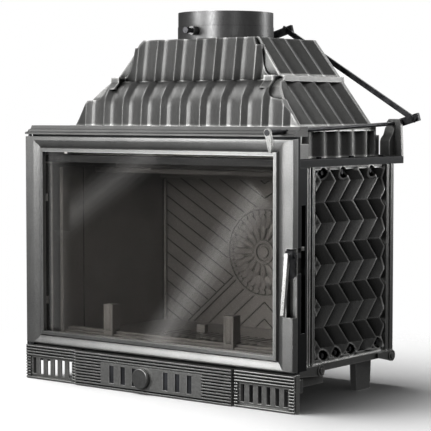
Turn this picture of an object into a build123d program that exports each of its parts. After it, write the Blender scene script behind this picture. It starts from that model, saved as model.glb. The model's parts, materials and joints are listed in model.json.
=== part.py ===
from build123d import *
import os
from math import atan2, cos, degrees, radians, sin, tan

# Cast-iron fireplace insert with a hinged glass door, a ribbed smoke hood and a
# flue damper. Millimetres, +X to the stove's right, +Y to its back, +Z up.
# While it is drawn, X is 0 on the centre plane, Y is 0 on the door's front face
# and Z is 0 on the floor. It is written out with the origin at the middle of
# its base.

os.makedirs("parts", exist_ok=True)

# Clearances
seat_gap = 0.3  # between pieces of different bodies that lie on each other
pin_gap = 0.05  # around a pin or shaft that turns in its hole
loose_gap = 0.3  # around the pin of the rod's upper pivot
glass_gap = 0.5  # around the glass, for its growth when hot

# Half widths: everything keeps its distance to the door's edges
door_half = 348.0
plinth_half = door_half + 2
cornice_half = door_half + 1
frame_half = door_half - 4
base_half = door_half - 30

# Plinth and drawer
plinth_height = 73.0
plinth_depth = 22.0
plinth_wall = 8.0
drawer_half = 205.0
drawer_proud = 5.0
drawer_gap = 4.0
rib_count = 12
rib_depth = 4.5
slot_width = 9.0
slot_count = 6
slot_first = drawer_half + drawer_gap + 17
slot_last = plinth_half - 21
slot_low = 11.0
slot_high = 45.0
field_half = 132.0
vent_width = 12.0
vent_first = 41.0
vent_pitch = 30.5
vent_low = 13.5
vent_high = 50.0
vent_wall = 2.5
slide_travel = vent_pitch / 2
slide_thick = 3.0
slide_low = 11.3
slide_high = 52.7
slide_end = field_half - 2
knob_x = -20.0
knob_z = 32.0
knob_radius = 21.0
stem_radius = 3.0
tray_half = 188.0
tray_top = 58.0
ash_half = 200.0
ash_low = 30.0
ash_wall = 4.0

# Base, walls and ring plate
base_low = 62.0
base_high = 76.0
ash_hole_half = 150.0
apron_x = base_half - 14
apron_low = 37.0
apron_rear = 154.0
wall_inner = base_half - 21
wall_thick = 7.0
relief = 12.0
chevron_front = 122.0
chevron_back = 372.0
chevron_pitch = 51.2
chevron_shift = 40.0
chevron_rise = 41.0
chevron_row = 81.8
chevron_first = 433.0
body_front = 28.0
wall_rear = 376.0
rear_plate = 396.0
body_rear = 404.0
ring_low = 463.0
ring_high = 478.0
ring_half = base_half + 22
ring_rear = 406.0

# Front frame and cornice
frame_front = 18.0
frame_opening_half = frame_half - 30
frame_opening_low = 91.0
frame_opening_high = 499.0
flange_depth = 24.0
flange_thick = 10.0
flange_face = frame_half - flange_thick
cornice_low = 521.5
cornice_high = 540.0
cornice_back = 45.0

# Door
door_low = 78.0
door_high = 517.0
door_thick = 15.0
glass_half = door_half - 48
glass_low = 105.0
glass_high = 485.0
glass_thick = 4.0
glass_lap = 12.0
slope_width = 14.0
bead_width = 10.0
valley_depth = 6.0
rope_width = 8.0
rope_side = 20.0
rope_end = 15.0
hinge_x = 7.5 - door_half
hinge_y = 7.5
hinge_radius = 4.0
hinge_reach = 12.0

# Handle
grip_y = 4.0
grip_z = 298.0
grip_pin = 2.5
notch_side = door_half - 16
notch_depth = 11.0
notch_low = 182.0
notch_high = 312.0

# Lining
lining_face = wall_inner - 16
lining_thick = 8.0
lining_front = 45.0
hearth_top = 94.0
lining_top = 452.0
back_face = 388.0
plank_drop = 30.0
plank_step = 32.4
plank_line = 2.4
border_rise = 40.4
disc_radius = 100.0
disc_z = 262.0
baffle_half = 206.0
post_x = 158.0
post_width = 25.0

# Hood
hood_base_half = base_half - 18
hood_half = base_half - 26
hood_low = 540.0
ledge_low = 629.0
ledge_high = 641.0
ledge_half = 222.0
tier_half = 212.0
hood_top = 719.0
top_half = 150.0
hood_plate = 8.0
hood_rear = 354.0
hood_end = 362.0
rib_out = 10.0
hood_wall = 8.0
front_pitch = 51.5
collar_radius = 100.0
collar_wall = 5.0
collar_top = 775.0
collar_y = 246.0
collar_seat = 745.0
collar_shoulder = 0.8

# Damper linkage: two equal cranks and a rod make a parallelogram
axle_z = 735.0
axle_radius = 5.0
axle_front = 118.0
blade_thick = 3.0
blade_reach = 83.0
shaft_x = base_half + 1
shaft_z = 531.0
shaft_rise = 14.0
shaft_run = 425.0
shaft_radius = 4.0
stub_radius = 6.0
crank_y = 414.0
crank_thick = 8.0
crank_length = 40.0
crank_width = 16.0
crank_angle = 16.0
rod_front = 407.6
rod_thick = 5.4
rod_width = 11.0
rod_pin = 3.0
head_gap = 1.4

pieces = []


def face(axis, low, high):
    """The plane that a shape running along an axis between two coordinates starts on."""
    if axis == "x":
        return Plane.YZ.offset(low)
    if axis == "y":
        return Plane.XZ.offset(-high)
    return Plane.XY.offset(low)


def block(x, y, z, mode=Mode.ADD):
    """Add or cut a rectangular block between pairs of coordinates."""
    with Locations(((x[0] + x[1]) / 2, (y[0] + y[1]) / 2, (z[0] + z[1]) / 2)):
        Box(x[1] - x[0], y[1] - y[0], z[1] - z[0], mode=mode)


def prism(axis, points, low, high, mode=Mode.ADD):
    """Add or cut a polygon that runs along an axis between two coordinates."""
    with BuildSketch(face(axis, low, high)) as outline:
        with BuildLine():
            Polyline(*points, close=True)
        make_face()
    extrude(outline.sketch, amount=high - low, mode=mode)


def bar(axis, centre, radius, low, high, mode=Mode.ADD):
    """Add or cut a round bar along an axis between two coordinates."""
    with BuildSketch(face(axis, low, high)) as disc:
        with Locations(centre):
            Circle(radius)
    extrude(disc.sketch, amount=high - low, mode=mode)


def flat_sided(axis, centre, radius, low, high, sides=6, mode=Mode.ADD):
    """Add or cut a regular flat-sided bar, such as a nut, between two coordinates."""
    with BuildSketch(face(axis, low, high)) as outline:
        with Locations(centre):
            RegularPolygon(radius, sides)
    extrude(outline.sketch, amount=high - low, mode=mode)


def pyramid(first, second, y, mode=Mode.ADD):
    """Add or cut a shape between two rectangles (half width, low, high) at two depths."""
    faces = []
    for (half, low, high), depth in ((first, y[0]), (second, y[1])):
        with BuildSketch(Plane.XZ.offset(-depth)) as outline:
            with Locations((0, (low + high) / 2)):
                Rectangle(2 * half, high - low)
        faces.append(outline.sketch)
    loft(faces, ruled=True, mode=mode)


def skin(levels, profile, axis, thick):
    """Loft a ribbed panel. Each level gives its height, the crest's place and a shift."""
    faces = []
    for height, crest, shift in levels:
        runs = [(run + shift, crest + out) for run, out in profile]
        inner = crest + thick
        runs = [(runs[0][0], inner)] + runs + [(runs[-1][0], inner)]
        if axis == "x":
            runs = [(out, run) for run, out in runs]
        with BuildSketch(Plane.XY.offset(height)) as outline:
            with BuildLine():
                Polyline(*runs, close=True)
            make_face()
        faces.append(outline.sketch)
    loft(faces, ruled=True)


def keep(piece, name):
    """Label a finished piece and keep it for writing."""
    piece.part.label = name
    pieces.append(piece)


def twin(piece):
    """The mirror image of a piece, for the other side of the stove."""
    with BuildPart() as other:
        mirror(piece.part, about=Plane.YZ)
    return other


def waves(first, pitch, count, depth, sign):
    """Rib profile: from each crest a steep flank falls, then a broad face rises."""
    steps = ((-0.03, 0), (0.03, 0), (0.12, 0.4), (0.21, 0.8), (0.31, 1), (0.48, 0.87), (0.75, 0.44))
    points = []
    for i in range(count):
        for along, fall in steps:
            points.append((first + (i + along) * pitch, sign * fall * depth))
    return points


def turned(centre, angle, low, high, width):
    """Corners of a flat bar that leaves a centre at an angle."""
    ahead = (cos(radians(angle)), sin(radians(angle)))
    corners = []
    for along, across in ((low, -1), (high, -1), (high, 1), (low, 1)):
        side = across * width / 2
        corners.append(
            (
                centre[0] + along * ahead[0] - side * ahead[1],
                centre[1] + along * ahead[1] + side * ahead[0],
            )
        )
    return corners


rib_pitch = plinth_height / rib_count


def ribbed_front(depth, back, half_low, half_high):
    """A plinth casting's plate with level ribs over its whole height."""
    points = [(back, 0), (depth + rib_depth, 0)]
    for i in range(rib_count):
        low = i * rib_pitch
        points.append((depth, low + 0.25 * rib_pitch))
        points.append((depth, low + 0.7 * rib_pitch))
        points.append((depth + rib_depth, low + rib_pitch))
    points.append((back, plinth_height))
    prism("x", points, half_low, half_high)


# Plinth: a slotted grille at each side of the drawer
grille_end = plinth_half - 1.5
slot_pitch = (slot_last - slot_first) / (slot_count - 1)
slots = [slot_first + i * slot_pitch for i in range(slot_count)]
with BuildPart() as grille_right:
    ribbed_front(0, plinth_wall, drawer_half + drawer_gap, plinth_half)
    block((slots[0] - 9, slots[-1] + 9), (-1, rib_depth), (rib_pitch, 8 * rib_pitch), Mode.SUBTRACT)
    behind_ribs = (rib_depth + 1, plinth_wall + 1)
    block((grille_end, plinth_half + 1), behind_ribs, (-1, plinth_height + 1), Mode.SUBTRACT)
    for x in slots:
        block((x - slot_width / 2, x + slot_width / 2), (0, 9), (slot_low, slot_high), Mode.SUBTRACT)
    grille_side = drawer_half + drawer_gap
    block((plinth_half - 10, grille_end), (plinth_wall, plinth_depth), (0, plinth_height))
    block((grille_side, grille_side + 5), (plinth_wall, plinth_depth), (0, plinth_height))
    block((grille_side, grille_end), (plinth_wall, plinth_depth), (66, plinth_height))
keep(grille_right, "grille_right")
keep(twin(grille_right), "grille_left")

# Drawer front: a smooth field with air slots, and a pocket behind them for the
# slide plate. The slide opens all slots by half their pitch.
vents = [side * (vent_first + i * vent_pitch) for i in range(3) for side in (-1, 1)]
pocket_half = slide_end + 1
pocket_front = vent_wall - drawer_proud
pocket_back = pocket_front + slide_thick + 2 * seat_gap
lip = 3.5
with BuildPart() as drawer_front:
    ribbed_front(-drawer_proud, plinth_wall, -drawer_half, drawer_half)
    block((-drawer_half, drawer_half), (-drawer_proud, plinth_wall), (1, 72), Mode.INTERSECT)
    field = (1.5 * rib_pitch, 9 * rib_pitch)
    block((-field_half, field_half), (-drawer_proud, plinth_wall), field)
    pocket = (slide_low - seat_gap, slide_high + seat_gap)
    block((-pocket_half, pocket_half), (pocket_front, pocket_back), pocket, Mode.SUBTRACT)
    opening = (pocket[0] + lip, pocket[1] - lip)
    block((-pocket_half, pocket_half), (pocket_front, plinth_wall + 1), opening, Mode.SUBTRACT)
    for x in vents:
        vent = (x - vent_width / 2, x + vent_width / 2)
        block(vent, (-9, pocket_front + 1), (vent_low, vent_high), Mode.SUBTRACT)
    stem_slot = (knob_x - stem_radius - 0.5, knob_x + slide_travel + stem_radius + 0.5)
    stem_rise = (knob_z - stem_radius - 0.5, knob_z + stem_radius + 0.5)
    block(stem_slot, (-9, pocket_front + 1), stem_rise, Mode.SUBTRACT)
keep(drawer_front, "drawer_front")

with BuildPart() as air_slide:
    slide_plate = (pocket_front + seat_gap, pocket_front + seat_gap + slide_thick)
    block((-slide_end, slide_end - slide_travel - 1), slide_plate, (slide_low, slide_high))
    for x in vents:
        window = (x - slide_travel - vent_width / 2, x - slide_travel + vent_width / 2)
        block(window, (-9, 9), (vent_low, vent_high), Mode.SUBTRACT)
    bar("y", (knob_x, knob_z), stem_radius, -drawer_proud - 3, slide_plate[0])
keep(air_slide, "air_slide")

with BuildPart() as air_knob:
    bar("y", (knob_x, knob_z), knob_radius, -14, -drawer_proud - 3)
    chamfer(air_knob.edges().filter_by(GeomType.CIRCLE).sort_by(Axis.Y)[0], 1.5)
keep(air_knob, "air_knob")

with BuildPart() as ash_tray:
    block((-tray_half, tray_half), (14, 290), (ash_low + ash_wall + seat_gap, tray_top))
    block((-tray_half + 2, tray_half - 2), (16, 288), (ash_low + ash_wall + 2.3, 70), Mode.SUBTRACT)
    for side in (-1, 1):
        arm = sorted((side * 162, side * tray_half))
        block(arm, (plinth_wall, 14), (36, tray_top))
keep(ash_tray, "ash_tray")

with BuildPart() as ash_box:
    block((-ash_half, ash_half), (20, 300), (ash_low, base_low))
    inner = ash_half - ash_wall
    block((-inner, inner), (19, 300 - ash_wall), (ash_low + ash_wall, base_low + 1), Mode.SUBTRACT)
keep(ash_box, "ash_box")

# Base plate, with the angles that tie it to the grilles and its corner bosses
with BuildPart() as base_plate:
    block((-base_half, base_half), (body_front, body_rear), (base_low, base_high))
    hole = (-ash_hole_half, ash_hole_half)
    block(hole, (110, 280), (base_low - 1, base_high + 1), Mode.SUBTRACT)
    block((apron_x, grille_end), (plinth_depth, body_front + 4), (apron_low, base_low))
    block((apron_x, apron_x + 8), (body_front, apron_rear), (apron_low, base_low))
    front_arm = [(body_front, base_low), (body_front, base_high), (130, base_high), (130, 54)]
    prism("x", front_arm, base_half, base_half + 5)
    rear_arm = [(340, 64), (340, 74), (390, base_high), (390, 53)]
    prism("x", rear_arm, base_half, base_half + 5)
    for boss in ((130, 65), (391, 64)):
        bar("x", boss, 11.5, base_half, base_half + 7)
        bar("x", boss, 6, base_half + 7, base_half + 9)
    block((0, plinth_half), (plinth_depth, 420), (apron_low, base_high + 1), Mode.INTERSECT)
    mirror(about=Plane.YZ)
keep(base_plate, "base_plate")

with BuildPart() as leg_right:
    leg = (base_half - 33, base_half - 18)
    prism("x", [(290, base_low), (349, base_low), (345, 0), (295, 0)], *leg)
    block((leg[0] - 1, leg[0] + 8), (301, 338), (-1, base_low - 6), Mode.SUBTRACT)
keep(leg_right, "leg_right")
keep(twin(leg_right), "leg_left")

# Side walls with a chevron relief. Its crests zigzag: each level of the loft
# slides the rib profile forward or back.
wall_face = wall_inner + wall_thick
crest_x = wall_face + relief
levels = []
for i in range(5):
    levels.append((chevron_first - i * chevron_row, chevron_shift))
    levels.append((chevron_first - i * chevron_row - chevron_rise, 0))
levels.append((chevron_first + chevron_rise, 0))
levels.sort()
chevron = []
for i in range(-2, 6):
    crest_y = chevron_front + 26.5 + i * chevron_pitch
    chevron.append((crest_y - 2.5, 0))
    chevron.append((crest_y + 2.5, 0))
    chevron.append((crest_y + 14, -relief))
bolt_places = [(153, 449), (223, 449), (327, 449), (157, 89), (203, 90), (256, 91), (359, 93)]
pocket_radius = 12.0
with BuildPart() as wall_right:
    skin([(z, crest_x, shift) for z, shift in levels], chevron, "x", -relief - 2)
    relief_z = (base_high + 8, ring_low - 8)
    block((wall_inner, crest_x), (chevron_front, chevron_back), relief_z, Mode.INTERSECT)
    block((wall_inner, wall_face), (body_front, wall_rear), (base_high, ring_low))
    block((wall_face, wall_face + 8), (118, wall_rear), (base_high, relief_z[0]))
    block((wall_face, wall_face + 8), (118, wall_rear), (relief_z[1], ring_low))
    block((wall_face, crest_x), (110, 118), (base_high, ring_low))
    block((wall_face, crest_x - 2), (103, 106), (base_high, ring_low))
    block((wall_face, crest_x - 2), (95, 98), (base_high, ring_low))
    block((wall_inner, flange_face - 4), (body_front, body_front + 8), (base_high, ring_low))
    for place in bolt_places:
        flat_sided("x", place, pocket_radius, wall_face, crest_x + 1, 10, Mode.SUBTRACT)
keep(wall_right, "wall_right")
keep(twin(wall_right), "wall_left")

with BuildPart() as post_right:
    block((wall_inner, base_half), (wall_rear, body_rear), (base_high, ring_low))
    block((base_half - 3, base_half + 1), (386, 392), (base_high - 1, ring_low + 1), Mode.SUBTRACT)
keep(post_right, "corner_post_right")
keep(twin(post_right), "corner_post_left")

with BuildPart() as rear_wall:
    block((-wall_inner, wall_inner), (rear_plate, body_rear), (base_high, ring_low))
keep(rear_wall, "rear_wall")

hood_open_half = wall_inner - 25
hood_open = (107.0, 346.0)
with BuildPart() as ring_plate:
    block((-ring_half, ring_half), (body_front, ring_rear), (ring_low, ring_high))
    hole = (-hood_open_half, hood_open_half)
    block(hole, (60, hood_open[1]), (ring_low - 1, ring_high + 1), Mode.SUBTRACT)
keep(ring_plate, "ring_plate")

# A low box that closes the space between the front frame and the hood
bridge_half = frame_opening_half + 8
with BuildPart() as bridge:
    block((-bridge_half, bridge_half), (body_front, 87), (ring_high, frame_opening_high + 8))
    cavity = (ring_high - 1, frame_opening_high)
    inside = (-frame_opening_half, frame_opening_half)
    block(inside, (body_front - 1, 88), cavity, Mode.SUBTRACT)
keep(bridge, "front_bridge")

# Front frame
with BuildPart() as front_frame:
    block((-frame_half, frame_half), (frame_front, body_front), (plinth_height, cornice_low))
    inside = (-frame_opening_half, frame_opening_half)
    opening = (frame_opening_low, frame_opening_high)
    block(inside, (frame_front - 1, body_front + 1), opening, Mode.SUBTRACT)
    for side in (-1, 1):
        flange = sorted((side * flange_face, side * frame_half))
        block(flange, (body_front, body_front + flange_depth), (base_high, ring_low))
        cut = sorted((side * (flange_face - 1), side * (frame_half + 1)))
        block(cut, (body_front + 4, body_front + 18), (149, 392), Mode.SUBTRACT)
    lug = (-cornice_half, hinge_x + 10.5)
    block(lug, (2, frame_front), (plinth_height, 77.6))
    bar("z", (hinge_x, hinge_y), hinge_radius + pin_gap, 70, 80, Mode.SUBTRACT)
    tongue_way = (door_half - 14, door_half - 2)
    block(tongue_way, (frame_front - 1, body_front + 5), (264, notch_high), Mode.SUBTRACT)
keep(front_frame, "front_frame")

with BuildPart() as latch_catch:
    block((flange_face - 4, flange_face), (body_front, 44), (296, 320))
    block((flange_face, flange_face + 9), (34, 44), (306, 314))
keep(latch_catch, "latch_catch")

# Cornice, with the bearings of the door's top pin and of the damper shaft
shaft_line = Plane(origin=(shaft_x, 0, shaft_z), z_dir=(0, shaft_run, shaft_rise), x_dir=(1, 0, 0))


def along_shaft(radius, low, high, centre=(0, 0), mode=Mode.ADD):
    """Add or cut a round bar along the damper shaft's line."""
    with BuildSketch(shaft_line.offset(low)) as disc:
        with Locations(centre):
            Circle(radius)
    extrude(disc.sketch, amount=high - low, mode=mode)


cornice_profile = [
    (0, cornice_low),
    (0, cornice_low + 3.5),
    (3, cornice_low + 5),
    (8, cornice_low + 5.5),
    (11, cornice_low + 10),
    (17, cornice_low + 11),
    (21, cornice_high),
    (cornice_back, cornice_high),
    (cornice_back, cornice_low),
]
pin_top = cornice_low + 4.5
with BuildPart() as cornice:
    prism("x", cornice_profile, -cornice_half, cornice_half)
    bar("z", (hinge_x, hinge_y), hinge_radius + pin_gap, cornice_low - 1, pin_top + 0.4, Mode.SUBTRACT)
    along_shaft(shaft_radius + pin_gap, -5, 60, mode=Mode.SUBTRACT)
keep(cornice, "cornice")

# Door frame: a flat band, a sloped step down and a bead at the glass
slope_edge = glass_half + bead_width + slope_width
bead_edge = glass_half + bead_width
with BuildPart() as door_frame:
    block((-door_half, door_half), (0, door_thick), (door_low, door_high))
    fillet(door_frame.edges().group_by(Axis.Y)[0], 2)
    upright = door_frame.edges().filter_by(Axis.Z)
    hinge_edges = upright.filter_by_position(Axis.X, -door_half - 1, 1 - door_half)
    fillet(hinge_edges.sort_by(Axis.Y)[-1], 6)
    pyramid(
        (slope_edge, glass_low - 24, glass_high + 24),
        (bead_edge, glass_low - bead_width, glass_high + bead_width),
        (0, valley_depth),
        Mode.SUBTRACT,
    )
    pyramid(
        (bead_edge - 3, glass_low - bead_width + 3, glass_high + bead_width - 3),
        (bead_edge, glass_low - bead_width, glass_high + bead_width),
        (1.5, valley_depth),
    )
    block((-glass_half, glass_half), (-1, door_thick + 1), (glass_low, glass_high), Mode.SUBTRACT)
    lap = glass_half + glass_lap
    rebate = (glass_low - glass_lap, glass_high + glass_lap)
    block((-lap, lap), (door_thick - glass_thick, 16), rebate, Mode.SUBTRACT)
    rope_in = glass_half + rope_side
    rope_z = (glass_low - rope_end, glass_high + rope_end + 3)
    rope_out_z = (rope_z[0] - rope_width, rope_z[1] + rope_width)
    with BuildSketch(Plane.XZ.offset(-door_thick)) as groove:
        with Locations((0, (rope_z[0] + rope_z[1]) / 2)):
            Rectangle(2 * (rope_in + rope_width), rope_out_z[1] - rope_out_z[0])
            Rectangle(2 * rope_in, rope_z[1] - rope_z[0], mode=Mode.SUBTRACT)
    extrude(groove.sketch, amount=5, mode=Mode.SUBTRACT)
    notch = (notch_side, door_half + 1)
    block(notch, (-1, notch_depth), (notch_low, notch_high), Mode.SUBTRACT)
    tongue_slot = (door_half - 12.5, door_half - 6.5)
    block(tongue_slot, (notch_depth - 1, door_thick + 1), (270, 304), Mode.SUBTRACT)
    low_pin = (door_low - 1, door_low + hinge_reach)
    bar("z", (hinge_x, hinge_y), hinge_radius, *low_pin, Mode.SUBTRACT)
    high_pin = (door_high - hinge_reach, door_high + 1)
    bar("z", (hinge_x, hinge_y), hinge_radius, *high_pin, Mode.SUBTRACT)
    pin_x = (notch_side - 7, door_half + 1.3)
    bar("x", (grip_y, grip_z), grip_pin, *pin_x, Mode.SUBTRACT)
keep(door_frame, "door_frame")

with BuildPart() as door_glass:
    pane = lap - glass_gap
    pane_z = (rebate[0] + glass_gap, rebate[1] - glass_gap)
    block((-pane, pane), (door_thick - glass_thick, door_thick), pane_z)
keep(door_glass, "door_glass")

with BuildPart() as door_rope:
    with BuildSketch(Plane.XZ.offset(-frame_front + seat_gap)) as ring:
        with Locations((0, (rope_z[0] + rope_z[1]) / 2)):
            RectangleRounded(2 * (rope_in + rope_width), rope_out_z[1] - rope_out_z[0], 2)
            Rectangle(2 * rope_in, rope_z[1] - rope_z[0], mode=Mode.SUBTRACT)
    extrude(ring.sketch, amount=frame_front - seat_gap - door_thick + 5)
keep(door_rope, "door_rope")

with BuildPart() as glass_clips:
    for side in (-1, 1):
        for z in (170, 388):
            clip = sorted((side * (glass_half - 3), side * (rope_in - 1)))
            block(clip, (door_thick, door_thick + 2.3), (z - 8, z + 8))
keep(glass_clips, "glass_clips")

with BuildPart() as hinge_pins:
    bar("z", (hinge_x, hinge_y), hinge_radius, plinth_height + 0.4, low_pin[1])
    bar("z", (hinge_x, hinge_y), hinge_radius, high_pin[0], pin_top)
keep(hinge_pins, "hinge_pins")

# Handle: a bright bar on a hub that turns on a pin across the door's edge
with BuildPart() as grip_pin_part:
    bar("x", (grip_y, grip_z), grip_pin, *pin_x)
    bar("x", (grip_y, grip_z), 4.5, pin_x[1], pin_x[1] + 2.2)
keep(grip_pin_part, "handle_pin")

with BuildPart() as handle_hub:
    hub = [(-12, 5), (-8, 10), (-3, 12), (1, 6), (6, 2), (6, -12), (-12, -12)]
    prism("x", [(grip_y + y, grip_z + z) for y, z in hub], notch_side + 1, door_half + 1)
    web = [(6, -12), (6, -38), (-14, -44), (-12, -12)]
    prism("x", [(grip_y + y, grip_z + z) for y, z in web], door_half - 5, door_half - 1)
    tongue = [(6, -5), (32, -5), (32, 1), (28, 4), (6, 4)]
    prism("x", [(grip_y + y, grip_z + z) for y, z in tongue], door_half - 12, door_half - 7)
    bar("x", (grip_y, grip_z), grip_pin + pin_gap, notch_side, door_half + 2, Mode.SUBTRACT)
keep(handle_hub, "handle_hub")

with BuildPart() as handle_bar:
    section = [(-8, 303), (-15, 305), (-29, 188), (-23, 186), (-8, 288)]
    prism("x", section, door_half - 10, door_half - 2)
    fillet(handle_bar.edges().group_by(Axis.Y)[0], 2)
keep(handle_bar, "handle_bar")

# Lining
with BuildPart() as lining_right:
    plate = (lining_face, lining_face + lining_thick)
    block(plate, (lining_front, back_face), (base_high, lining_top))
    joint = (lining_face - 1, lining_face + 3)
    block(joint, (109.5, 112), (hearth_top, lining_top + 1), Mode.SUBTRACT)
    bar("z", (lining_face - 2, back_face - 4), 4, hearth_top, 415)
keep(lining_right, "lining_right")
keep(twin(lining_right), "lining_left")

drop = tan(radians(plank_drop))
climb = tan(radians(border_rise))
border_x = 51 - lining_face
border_z = 82.0


def groove_line(start, end):
    """Corners of a thin line between two points."""
    angle = degrees(atan2(end[1] - start[1], end[0] - start[0]))
    length = ((end[0] - start[0]) ** 2 + (end[1] - start[1]) ** 2) ** 0.5
    return turned(start, angle, 0, length, plank_line)


plank_lines = []
for i in range(16):
    start_z = 121.0 + i * plank_step
    start_x = -lining_face
    if start_z > lining_top:
        start_x = -lining_face + (start_z - lining_top) / drop
        start_z = lining_top
    meet = border_z + climb * (start_x - border_x)
    end_x = min(0, start_x + (start_z - meet) / (drop + climb))
    plank_lines.append(((start_x, start_z), (end_x, start_z - drop * (end_x - start_x))))
for i in (0, 0.4, 1.4, 2.4, 3.4, 4.4):
    end_z = border_z + climb * (0 - border_x) - i * 37
    start_x = max(border_x, -(end_z - base_high) / climb)
    plank_lines.append(((start_x, end_z + climb * start_x), (0, end_z)))

with BuildPart() as back_plate:
    block((-lining_face - 8, lining_face + 8), (back_face, rear_plate), (base_high, lining_top))
    with BuildSketch(Plane.XZ.offset(-back_face - 2)) as lines:
        for start, end in plank_lines:
            with BuildLine():
                Polyline(*groove_line(start, end), close=True)
            make_face()
        mirror(about=Plane.YZ)
    extrude(lines.sketch, amount=3, mode=Mode.SUBTRACT)
keep(back_plate, "back_plate")

# A plain rosette of petals and rings in the middle of the back plate
petal_count = 16
petal_shape = [(30, 0), (45, 6), (65, 9), (77, 5), (84, 0), (77, -5), (65, -9), (45, -6)]


def petal(angle):
    """Corners of one petal, turned about the rosette's middle."""
    ahead = (cos(radians(angle)), sin(radians(angle)))
    corners = []
    for out, side in petal_shape:
        corners.append((out * ahead[0] - side * ahead[1], disc_z + out * ahead[1] + side * ahead[0]))
    return corners


with BuildPart() as rosette:
    with BuildSketch(Plane.XZ.offset(-back_face)) as disc:
        with Locations((0, disc_z)):
            Circle(disc_radius)
    extrude(disc.sketch, amount=2)
    with BuildSketch(Plane.XZ.offset(-back_face + 2)) as petals:
        with Locations((0, disc_z)):
            Circle(disc_radius)
            Circle(disc_radius - 5, mode=Mode.SUBTRACT)
            RegularPolygon(26, 24)
            RegularPolygon(20, 24, mode=Mode.SUBTRACT)
            RegularPolygon(12, 12)
            with PolarLocations(88, 32):
                RegularPolygon(5, 6)
        for i in range(petal_count):
            with BuildLine():
                Polyline(*petal(360 * i / petal_count), close=True)
            make_face()
    extrude(petals.sketch, amount=2)
keep(rosette, "back_rosette")

with BuildPart() as hearth:
    block((-lining_face, lining_face), (body_front, back_face), (base_high, hearth_top))
    ends = (-lining_face - 9, lining_face + 9)
    block(ends, (27, 45), (frame_opening_low - 1, 100), Mode.SUBTRACT)
    block((-155, 155), (105, 285), (hearth_top - 10, 100), Mode.SUBTRACT)
    block((-145, 145), (115, 275), (70, 100), Mode.SUBTRACT)
keep(hearth, "hearth_plate")

with BuildPart() as grate:
    block((-154.5, 154.5), (105.5, 284.5), (hearth_top - 10, hearth_top))
    with Locations((0, 195, hearth_top)):
        with GridLocations(20, 80, 14, 2):
            Box(9, 68, 30, mode=Mode.SUBTRACT)
    block((-80, -57), (249, 260), (hearth_top, hearth_top + 18))
keep(grate, "fire_grate")

with BuildPart() as log_rail:
    steps = [(45, 94), (45, 100), (52, 100), (52, 105), (60, 105), (60, 111), (75, 111), (75, 94)]
    prism("x", steps, -lining_face, lining_face)
    for side in (-1, 1):
        middle = side * post_x
        half = post_width / 2
        block((middle - half, middle + half), (50, 74), (100, 167))
        bar("z", (middle, 42), 12, 112, 168, Mode.SUBTRACT)
keep(log_rail, "log_rail")

baffle_rear = (386.0, 429.0)
baffle_front = (130.0, 451.0)
baffle_thick = 10.0


def under_baffle(y):
    """Height of the baffle's underside."""
    along = (y - baffle_front[0]) / (baffle_rear[0] - baffle_front[0])
    return baffle_front[1] + along * (baffle_rear[1] - baffle_front[1])


with BuildPart() as baffle:
    top = [(y, z + baffle_thick) for y, z in (baffle_front, baffle_rear)]
    prism("x", [baffle_rear, baffle_front] + top, -baffle_half, baffle_half)
keep(baffle, "baffle")

with BuildPart() as baffle_bars:
    for rear in (baffle_rear[0], baffle_front[0] + 36):
        front = rear - 18
        low = under_baffle(rear) - 9
        section = [(front, low), (rear, low), (rear, under_baffle(rear)), (front, under_baffle(front))]
        prism("x", section, -lining_face, lining_face)
keep(baffle_bars, "baffle_bars")

# Hood base: a box with upright flutes at its sides
flute_first = 122.0
flute_pitch = 51.0
with BuildPart() as hood_base:
    width = (-hood_base_half, hood_base_half)
    block(width, (87, hood_end), (ring_high, hood_low))
    block(width, (hood_end, hood_end + 12), (ring_high, hood_low - 19))
    hole = (-hood_open_half, hood_open_half)
    block(hole, hood_open, (ring_high - 1, hood_low + 1), Mode.SUBTRACT)
    fluted = waves(flute_first - flute_pitch, flute_pitch, 6, 9, -1)
    fluted = [(y, hood_base_half + out) for y, out in fluted if 95 < y < 360]
    skim = hood_base_half - 0.1
    beyond = hood_base_half + 1
    cut = [(95, beyond), (95, skim)] + fluted + [(359, skim), (359, beyond)]
    for side in (-1, 1):
        prism("z", [(side * x, y) for y, x in cut], ring_high, hood_low - 10, Mode.SUBTRACT)
keep(hood_base, "hood_base")

# Hood front: one ribbed casting in two tiers. The crests lean back from level to
# level, and the stepped outline is cut from the ribbed skin.
front_levels = [(540, 87), (580, 89.5), (598, 93), (616, 105), (628, 118), (632, 131), (719, 144)]
front_depth = rib_out + hood_wall
front_back = [(crest + front_depth, z) for z, crest in front_levels]
tier = [
    (top_half - 5, hood_top),
    (top_half + 5, 703),
    (top_half + 15, 703),
    (top_half + 17, 690),
    (top_half + 22, 662),
    (tier_half - 35, 652),
    (tier_half - 28, 645),
    (tier_half - 21, ledge_high),
    (tier_half, ledge_high),
    (tier_half, 619),
    (tier_half + 2, 607),
    (tier_half + 6, 600),
    (tier_half + 13, 596),
    (hood_half - 38, 592),
    (hood_half, hood_low),
]
# The hood's outline behind the stepped front, which a thin sheet closes
hood_outline = [
    (hood_half, hood_low),
    (ledge_half, ledge_low),
    (ledge_half, ledge_high),
    (tier_half, ledge_high),
    (top_half, hood_top),
]
sheet_thick = 5.0
end_block = [(121, ledge_high), (121, 630), (105, 616)] + front_back[3:6] + [(150, ledge_high)]
with BuildPart() as hood_front:
    profile = waves(2 - 7 * front_pitch, front_pitch, 14, rib_out, 1)
    skin([(z, crest, 0) for z, crest in front_levels], profile, "y", front_depth)
    outline = tier + [(-x, z) for x, z in reversed(tier)]
    prism("y", outline, 60, 200, Mode.INTERSECT)
    for side in (-1, 1):
        prism("x", end_block, *sorted((side * (tier_half - 22), side * tier_half)))
with BuildPart() as sheet:
    edges = [(-hood_half, front_depth - sheet_thick), (hood_half, front_depth - sheet_thick)]
    skin([(z, crest, 0) for z, crest in front_levels], edges, "y", front_depth)
    outline = hood_outline + [(-x, z) for x, z in reversed(hood_outline)]
    prism("y", outline, 60, 200, Mode.INTERSECT)
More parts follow.
